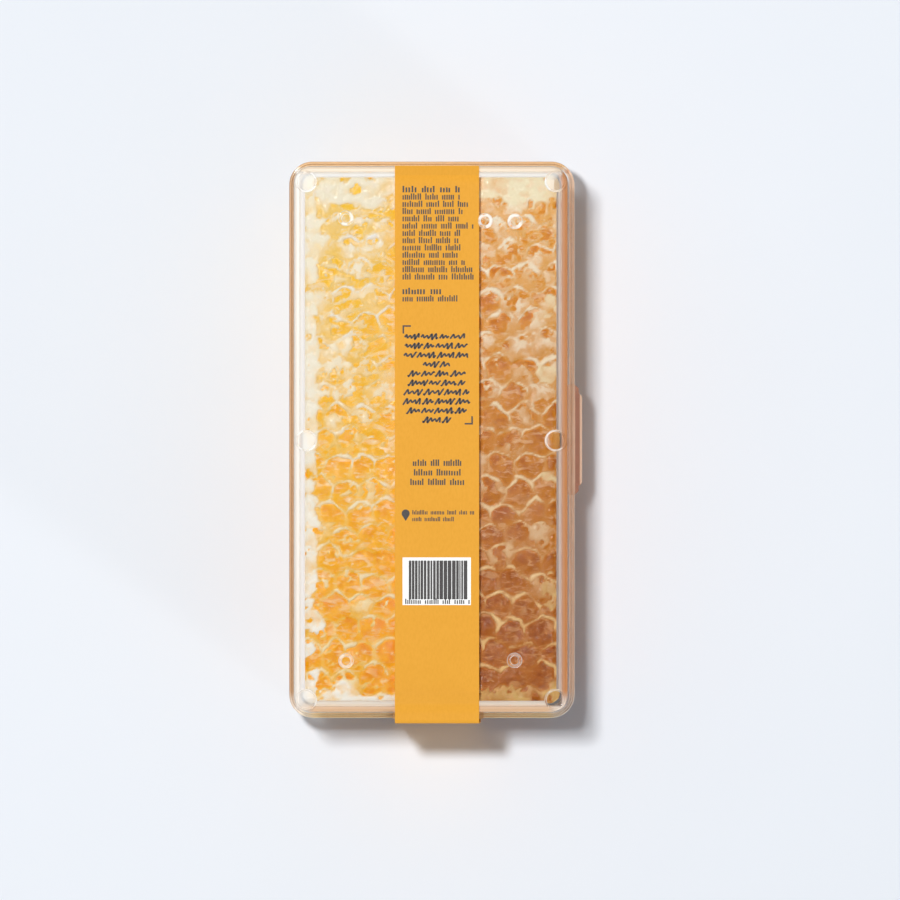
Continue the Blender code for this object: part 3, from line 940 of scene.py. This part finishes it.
def over_ridge(y):
    """How far the paper stands off the flat side where it climbs over the ridge."""
    away = (abs(y) - (LENGTH / 2 - RIDGE_INSET)) / (0.75 * RIDGE_WIDTH)
    return 0.04 * MM + RIDGE_HEIGHT * math.exp(-(away**4))


def label_route():
    """(y, z) along the paper's inner side: over the tray, down past the lug, and back under the lid."""
    end = LABEL_HIGH.y
    turn = LABEL_FOLD - (LENGTH / 2 + LUG_REACH + 0.08 * MM)
    steps = 120
    across = [end + (turn - end) * k / steps for k in range(steps + 1)]
    upper = [(y, TRAY_FLAT + over_ridge(y)) for y in across]
    lower = [(y, LID_FLAT - over_ridge(y)) for y in reversed(across)]
    top, foot = upper[-1][1], lower[0][1]
    bend = arc((turn, top - LABEL_FOLD), LABEL_FOLD, 100, 180, 8)
    bend += arc((turn, foot + LABEL_FOLD), LABEL_FOLD, 180, 260, 8)
    return upper + bend + lower


def tube_faces(start, rings, count):
    """Faces round rings of count points each, numbered from start, with a face at both ends."""
    faces = []
    for k in range(rings - 1):
        here, after = start + k * count, start + (k + 1) * count
        for i, j in zip(range(count), [*range(1, count), 0]):
            faces.append((here + i, here + j, after + j, after + i))
    last = start + (rings - 1) * count
    return faces + [tuple(range(start, start + count))[::-1], tuple(range(last, last + count))]


def label_paper(material):
    """A band of paper along the route, as a closed body with softened long edges."""
    route = np.array(label_route())
    ahead = np.gradient(route, axis=0)
    ahead /= np.linalg.norm(ahead, axis=1)[:, None]
    outward = np.stack([ahead[:, 1], -ahead[:, 0]], 1)
    half, soft, thick = LABEL_WIDTH / 2, 0.06 * MM, LABEL_THICKNESS
    centre = (LABEL_LOW.x + LABEL_HIGH.x) / 2
    section = [(-half + soft, 0.0), (-half, soft), (-half, thick - soft), (-half + soft, thick)]
    section += [(-x, h) for x, h in reversed(section)]
    count = len(section)
    points = []
    for (y, z), (out_y, out_z) in zip(route, outward):
        points += [(centre + x, y + out_y * h, z + out_z * h) for x, h in section]
    faces = tube_faces(0, len(route), count)
    made = piece("label_paper", points, faces, material, "paper", smooth=True)
    made.data.set_sharp_from_angle(angle=math.radians(40))
    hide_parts("label_strip")


# Heights and widths of the ticks in the print, in millimetres
HEADING = (0.96, 0.32)
TEXT = (0.92, 0.25)
WARNING = (0.95, 0.27)
SMALLEST = (0.66, 0.18)


class Print:
    """Flat shapes printed on the label. Places are millimetres right and down from its top left corner."""

    def __init__(self, level=0):
        self.points, self.faces = [], []
        surface = TRAY_FLAT + over_ridge(0.0) + LABEL_THICKNESS
        self.low = surface - 0.01 * MM
        self.high = surface + INK_THICKNESS * (1 + level)

    def shape(self, outline):
        """A thin closed prism over an outline given clockwise as it is read."""
        start, count = len(self.points), len(outline)
        for z in (self.low, self.high):
            self.points += [(LABEL_LOW.x + u * MM, LABEL_HIGH.y - v * MM, z) for u, v in outline]
        ring = range(count)
        self.faces.append(tuple(start + i for i in ring))
        self.faces.append(tuple(start + count + i for i in reversed(ring)))
        for i in ring:
            after = (i + 1) % count
            self.faces.append((start + after, start + i, start + count + i, start + count + after))

    def bar(self, u, v, width, height):
        """An upright rectangle from its top left corner."""
        self.shape([(u, v), (u + width, v), (u + width, v + height), (u, v + height)])

    def stroke(self, line, weight):
        """A thin closed ribbon along a line."""
        line = np.array(line)
        ahead = np.gradient(line, axis=0)
        ahead /= np.linalg.norm(ahead, axis=1)[:, None]
        beside = np.stack([-ahead[:, 1], ahead[:, 0]], 1) * weight / 2
        start = len(self.points)
        for (u, v), (du, dv) in zip(line, beside):
            for z in (self.low, self.high):
                pair = [(u - du, v - dv, z), (u + du, v + dv, z)]
                pair = pair if z == self.low else pair[::-1]
                self.points += [(LABEL_LOW.x + a * MM, LABEL_HIGH.y - b * MM, c) for a, b, c in pair]
        self.faces += tube_faces(start, len(line), 4)

    def tick_row(self, chance, u, v, length, height, weight):
        """A line of small upright ticks in groups, some taller than the rest."""
        place, group = u, chance.randint(4, 10)
        while place < u + length:
            tall = height * chance.choice((0.9, 1.0, 1.0, 1.3))
            self.bar(place, v - tall, weight, tall)
            place += weight * chance.uniform(1.5, 1.95)
            group -= 1
            if group <= 0:
                place += weight * 2.6
                group = chance.randint(4, 10)

    def wave_row(self, chance, u, v, length, swing, weight):
        """A line of loose waves, broken into groups."""
        place = u
        while place < u + length - 0.4:
            reach = min(chance.uniform(1.6, 3.6), u + length - place)
            steps = max(int(reach / 0.06), 4)
            phase, sway = chance.uniform(0, math.pi), chance.uniform(6.5, 8.5)
            line = []
            for k in range(steps + 1):
                along = reach * k / steps
                grow = 0.65 + 0.35 * math.sin(along * 2.1 + phase)
                height = swing * grow * math.sin(along * sway + phase)
                line.append((place + along - 0.4 * height, v + height))
            self.stroke(line, weight)
            place += reach + 0.45

    def finish(self, name, material):
        piece(name, self.points, self.faces, material, "paper")


def build_label():
    """A plain paper band with small print as ticks, waves and bars that spell nothing."""
    label_paper(paper_material())
    chance = random.Random(21)
    middle = LABEL_WIDTH / MM / 2
    left, line = 1.5, 1.405

    text = Print()
    text.tick_row(chance, left, 5.1, 10.8, *HEADING)
    for row in range(1, 13):
        text.tick_row(chance, left, 5.1 + row * line, chance.uniform(10.5, 13.8), *TEXT)
    text.tick_row(chance, left, 24.8, 7.4, *HEADING)
    text.tick_row(chance, left, 26.2, 11.4, *TEXT)

    # A framed motto of loose waves
    arm, stroke = 1.6, 0.3
    text.bar(left, 30.8, arm, stroke)
    text.bar(left, 30.8 + stroke, stroke, arm - stroke)
    right, foot = LABEL_WIDTH / MM - 1.2, 50.0
    text.bar(right - arm, foot - stroke, arm, stroke)
    text.bar(right - stroke, foot - arm, stroke, arm - stroke)
    for row in range(10):
        length = 5.2 if row in (3, 9) else chance.uniform(8.5, 12.8)
        text.wave_row(chance, middle - length / 2, 33.0 + row * 1.79, length, 0.58, 0.35)

    for row, length in enumerate((9.3, 8.9, 10.3)):
        text.tick_row(chance, middle - length / 2, 58.0 + row * 1.85, length, *WARNING)

    # A drop that points down, and two lines of the smallest print
    text.shape(arc((2.1, 67.2), 0.78, 150, 390, 16) + [(2.1, 67.2 + 1.45)])
    text.tick_row(chance, 3.4, 67.4, 11.8, *SMALLEST)
    text.tick_row(chance, 3.4, 68.7, 8.0, *SMALLEST)

    # A white panel with upright stripes
    panel = Print()
    panel.bar(left, 75.7, 13.2, 9.2)
    stripes = Print(level=1)
    place = 2.7
    while place < 13.5:
        width = chance.choice((0.25, 0.35, 0.5, 0.5, 0.7))
        stripes.bar(place, 76.3, width, 7.5)
        place += width + chance.choice((0.1, 0.13, 0.16))
    stripes.tick_row(chance, 2.0, 84.7, 12.4, 0.8, 0.24)

    slate = ink_material("slate_ink", (52, 48, 48))
    text.finish("label_print", slate)
    panel.finish("label_panel", ink_material("white_ink", (250, 250, 248)))
    stripes.finish("label_stripes", slate)


# ------------------------------------ studio

def build_studio():
    """A plain floor, a light tent, a key lamp high at the far left and a low lamp at the near right."""
    reach = 3.0
    corners = [(-reach, -reach, 0), (reach, -reach, 0), (reach, reach, 0), (-reach, reach, 0)]
    floor = piece("studio_floor", corners, [(0, 1, 2, 3)], floor_material(), None)
    build_sky()
    add_lamp("key", place=(-0.20, 0.19, 1.2), size=0.11, energy=12.6)
    add_lamp("fill", place=(1.08, -0.84, 0.13), size=0.2, energy=10.0)


def build_sky():
    """A light tent: bright walls all round, and a dark opening overhead that keeps flat plastic clear."""
    world = bpy.data.worlds.new("studio")
    world.use_nodes = True
    tree = world.node_tree
    split = tree.nodes.new("ShaderNodeSeparateXYZ")
    tree.links.new(tree.nodes.new("ShaderNodeTexCoord").outputs["Generated"], split.inputs[0])
    opening = tree.nodes.new("ShaderNodeMapRange")
    opening.interpolation_type = "SMOOTHSTEP"
    for key, value in {"From Min": 0.95, "From Max": 0.55, "To Min": 0.08, "To Max": 0.34}.items():
        opening.inputs[key].default_value = value
    tree.links.new(split.outputs[2], opening.inputs["Value"])
    background = tree.nodes["Background"]
    background.inputs["Color"].default_value = (0.9, 0.95, 1.0, 1.0)
    tree.links.new(opening.outputs["Result"], background.inputs["Strength"])
    bpy.context.scene.world = world


def add_lamp(name, place, size, energy):
    """A round lamp that points at the pack."""
    lamp = bpy.data.lights.new(name, "AREA")
    lamp.shape = "DISK"
    lamp.size = size
    lamp.energy = energy
    made = new_object(name, lamp)
    made.location = place
    made.rotation_euler = (-Vector(place)).to_track_quat("-Z", "Y").to_euler()


def build_camera():
    """Straight above, from far off: nearly without perspective."""
    view_width = 174.8 * MM
    height = 4.0
    aim = Vector((3.5 * MM, -2.0 * MM, PARTING))
    camera = bpy.data.cameras.new("camera")
    camera.sensor_width = 36.0
    camera.lens = camera.sensor_width * (height - PARTING) / view_width
    camera.clip_end = 20.0
    made = new_object("camera", camera)
    lean_x, lean_y = math.radians(0.4), math.radians(0.7)
    made.location = aim + (height - PARTING) * Vector((math.tan(lean_y), -math.tan(lean_x), 1.0))
    made.rotation_euler = (lean_x, lean_y, 0.0)
    bpy.context.scene.camera = made


def main():
    bpy.context.scene.view_settings.view_transform = "Standard"
    build_comb()
    build_box()
    build_label()
    build_studio()
    build_camera()


main()
